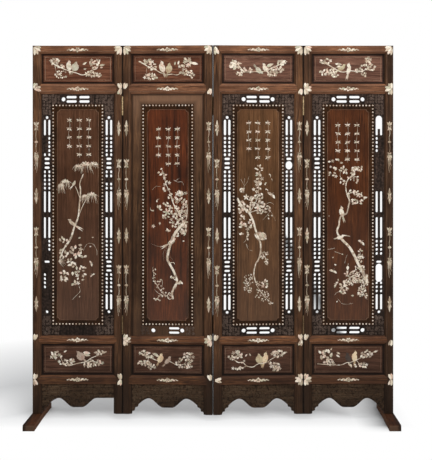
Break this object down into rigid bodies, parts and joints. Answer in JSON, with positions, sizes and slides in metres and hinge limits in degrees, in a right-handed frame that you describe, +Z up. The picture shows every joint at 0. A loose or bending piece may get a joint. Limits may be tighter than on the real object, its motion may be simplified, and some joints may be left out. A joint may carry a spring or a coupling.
{
  "type": "folding screen",
  "caption": "Folding screen of framed hardwood leaves with pierced fretwork, beaded centre panels, scalloped aprons and block feet, joined by brass butt hinges.",
  "frame": {"origin": "middle of the footprint on the floor, between the two feet", "axes": "+Z up, +X to the right along the leaves, the decorated front faces -Y"},
  "size_m": [1.7746, 0.448, 1.828],
  "materials": {
    "rosewood_frame": "waxed, open grain",
    "rosewood_panel": "waxed, straight grain",
    "dark_wood": "dark stained, carved",
    "foot_wood": "waxed, worn",
    "mother_of_pearl": "polished shell",
    "brass": "aged, dull"
  },
  "bodies": {
    "leaf_1": {"left_stile_1": "rosewood_frame", "right_stile_1": "rosewood_frame", "top_rail_1": "rosewood_frame", "upper_rail_1": "rosewood_frame", "lower_rail_1": "rosewood_frame", "bottom_rail_1": "rosewood_frame", "upper_panel_1": "rosewood_panel", "centre_panel_1": "rosewood_panel", "lower_panel_1": "rosewood_panel", "fretwork_1": "dark_wood", "bead_frame_1": "dark_wood", "pearl_beads_1": "mother_of_pearl", "apron_1": "dark_wood", "hinge_plates_1": "brass", "foot_left": "foot_wood"},
    "leaf_2": {"left_stile_2": "rosewood_frame", "right_stile_2": "rosewood_frame", "top_rail_2": "rosewood_frame", "upper_rail_2": "rosewood_frame", "lower_rail_2": "rosewood_frame", "bottom_rail_2": "rosewood_frame", "upper_panel_2": "rosewood_panel", "centre_panel_2": "rosewood_panel", "lower_panel_2": "rosewood_panel", "fretwork_2": "dark_wood", "bead_frame_2": "dark_wood", "pearl_beads_2": "mother_of_pearl", "apron_2": "dark_wood", "hinge_plates_2": "brass", "hinge_pins_left": "brass"},
    "leaf_3": {"left_stile_3": "rosewood_frame", "right_stile_3": "rosewood_frame", "top_rail_3": "rosewood_frame", "upper_rail_3": "rosewood_frame", "lower_rail_3": "rosewood_frame", "bottom_rail_3": "rosewood_frame", "upper_panel_3": "rosewood_panel", "centre_panel_3": "rosewood_panel", "lower_panel_3": "rosewood_panel", "fretwork_3": "dark_wood", "bead_frame_3": "dark_wood", "pearl_beads_3": "mother_of_pearl", "apron_3": "dark_wood", "hinge_plates_3": "brass", "hinge_pins_right": "brass"},
    "leaf_4": {"left_stile_4": "rosewood_frame", "right_stile_4": "rosewood_frame", "top_rail_4": "rosewood_frame", "upper_rail_4": "rosewood_frame", "lower_rail_4": "rosewood_frame", "bottom_rail_4": "rosewood_frame", "upper_panel_4": "rosewood_panel", "centre_panel_4": "rosewood_panel", "lower_panel_4": "rosewood_panel", "fretwork_4": "dark_wood", "bead_frame_4": "dark_wood", "pearl_beads_4": "mother_of_pearl", "apron_4": "dark_wood", "hinge_plates_4": "brass", "foot_right": "foot_wood"}
  },
  "joints": [
    {"name": "fold_left", "type": "hinge", "parent": "leaf_2", "child": "leaf_1", "pos_m": [-0.44169, -0.02, 0.928], "axis": [0, 0, 1], "range_deg": [-3, 125]},
    {"name": "fold_middle", "type": "hinge", "parent": "leaf_2", "child": "leaf_3", "pos_m": [0, -0.00309, 0.928], "axis": [0, 0, 1], "range_deg": [-6, 145]},
    {"name": "fold_right", "type": "hinge", "parent": "leaf_3", "child": "leaf_4", "pos_m": [0.44169, -0.02, 0.928], "axis": [0, 0, -1], "range_deg": [-3, 125]}
  ]
}
